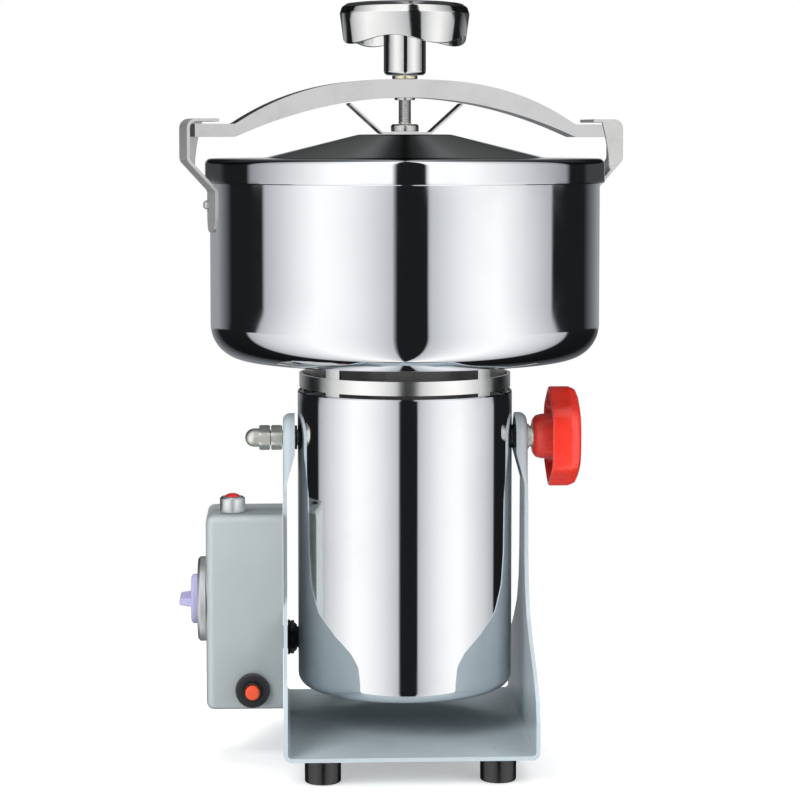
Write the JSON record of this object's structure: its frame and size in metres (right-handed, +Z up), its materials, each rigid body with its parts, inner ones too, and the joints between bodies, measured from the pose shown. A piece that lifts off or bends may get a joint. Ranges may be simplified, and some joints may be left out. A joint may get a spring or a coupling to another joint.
{
  "type": "dry grain grinder",
  "caption": "Swing-type dry grain grinder: lidded steel pot with blades on a motor that tilts between the ears of a painted stand",
  "frame": {"origin": "on the floor under the middle of the grinder, on the upright axis of the motor and pot", "axes": "+X right, +Y back, +Z up"},
  "size_m": [0.2861, 0.2534, 0.48],
  "materials": {
    "stand_paint": "pale blue-grey semi-gloss enamel",
    "box_paint": "pale silver-grey fine metallic enamel",
    "zinc_plate": "zinc plated, slightly yellow",
    "foot_rubber": "black moulded rubber",
    "satin_metal": "spun satin",
    "lilac_plastic": "lilac moulded plastic",
    "black_plastic": "moulded, fine sheen",
    "conduit_plastic": "corrugated black conduit",
    "chrome": "mirror",
    "red_lens": "clear red dome",
    "orange_plastic": "moulded",
    "dark_cast": "dark machined casting",
    "red_plastic": "glossy moulded",
    "brass": "turned",
    "polished_steel": "mirror-polished stainless steel",
    "satin_steel": "satin stainless steel",
    "silicone": "translucent white silicone",
    "laminations": "stacked steel sheet",
    "copper": "bare copper",
    "carbon": "pressed carbon"
  },
  "bodies": {
    "stand": {"stand_bracket": "stand_paint", "foot_left_back": "foot_rubber", "foot_left_front": "foot_rubber", "foot_right_back": "foot_rubber", "foot_right_front": "foot_rubber", "control_box_cover": "box_paint", "box_base_plate": "zinc_plate", "timer_dial": "satin_metal", "timer_case": "black_plastic", "pilot_lamp_bezel": "chrome", "pilot_lamp_lens": "red_lens", "breaker_body": "black_plastic", "breaker_ring_nut": "black_plastic", "mains_gland": "black_plastic", "stand_conduit_gland": "black_plastic"},
    "head": {"left_pivot_stud": "zinc_plate", "right_pivot_stud": "zinc_plate", "left_pivot_spacer": "dark_cast", "right_pivot_spacer": "dark_cast", "left_hex_nut": "zinc_plate", "left_cap_nut": "zinc_plate", "motor_shell": "polished_steel", "neck_collar": "satin_steel", "grinding_pot": "polished_steel", "motor_top_bell": "dark_cast", "motor_bottom_bracket": "dark_cast", "upper_bearing": "satin_steel", "lower_bearing": "satin_steel", "shaft_seal": "silicone", "stator": "laminations", "left_brush": "carbon", "right_brush": "carbon", "toothed_liner": "satin_steel", "left_hook_clip": "satin_steel", "right_hook_clip": "satin_steel", "motor_conduit_gland": "black_plastic", "conduit": "conduit_plastic"},
    "lock_washers": {"lock_flat_washer": "zinc_plate", "lock_spring_washer": "zinc_plate"},
    "lock_knob": {"tilt_lock_knob": "red_plastic", "lock_knob_insert": "brass"},
    "rotor": {"motor_shaft": "satin_steel", "armature": "laminations", "commutator": "copper", "cooling_fan": "black_plastic", "lower_blade": "satin_steel", "middle_blade": "satin_steel", "upper_blade": "satin_steel", "blade_nut": "zinc_plate"},
    "lid": {"lid": "polished_steel", "lid_gasket": "silicone", "lid_boss": "satin_steel", "lid_stay": "satin_steel"},
    "arm": {"clamp_arm": "satin_steel", "knob_washer": "brass"},
    "clamp_screw": {"clamp_knob": "chrome", "clamp_spindle": "satin_steel"},
    "timer_knob": {"timer_knob": "lilac_plastic", "timer_shaft": "zinc_plate"},
    "reset_button": {"reset_button": "orange_plastic"}
  },
  "joints": [
    {"name": "head_tilt", "type": "hinge", "parent": "stand", "child": "head", "pos_m": [0, 0, 0.204], "axis": [1, 0, 0], "range_deg": [0, 95], "deforming": ["conduit"]},
    {"name": "lock_back_off", "type": "slide", "parent": "head", "child": "lock_washers", "axis": [1, 0, 0], "range_m": [0, 0.003]},
    {"name": "lock_turn", "type": "hinge", "parent": "lock_washers", "child": "lock_knob", "pos_m": [0.09, 0, 0.204], "axis": [1, 0, 0], "range_deg": [0, 720]},
    {"name": "rotor_spin", "type": "hinge", "parent": "head", "child": "rotor", "pos_m": [0, 0, 0.15], "axis": [0, 0, 1], "continuous": true},
    {"name": "clamp_swing", "type": "hinge", "parent": "head", "child": "lid", "pos_m": [0, 0, 0.38], "axis": [0, 0, 1], "range_deg": [0, 80]},
    {"name": "arm_drop", "type": "slide", "parent": "lid", "child": "arm", "axis": [0, 0, 1], "range_m": [-0.006, 0], "deforming": ["lid_stay"]},
    {"name": "clamp_turn", "type": "hinge", "parent": "lid", "child": "clamp_screw", "pos_m": [0, 0, 0.43], "axis": [0, 0, 1], "range_deg": [0, 1728]},
    {"name": "timer_turn", "type": "hinge", "parent": "stand", "child": "timer_knob", "pos_m": [-0.13, 0, 0.1005], "axis": [1, 0, 0], "range_deg": [0, 300]},
    {"name": "reset_press", "type": "slide", "parent": "stand", "child": "reset_button", "axis": [0, 1, 0], "range_m": [0, 0.003], "stiffness_N_per_m": 400}
  ],
  "couplings": [
    {"joint": "lock_back_off", "follows": "lock_turn", "m_per_rad": 0.00023873},
    {"joint": "arm_drop", "follows": "clamp_turn", "m_per_rad": -0.00019894}
  ]
}
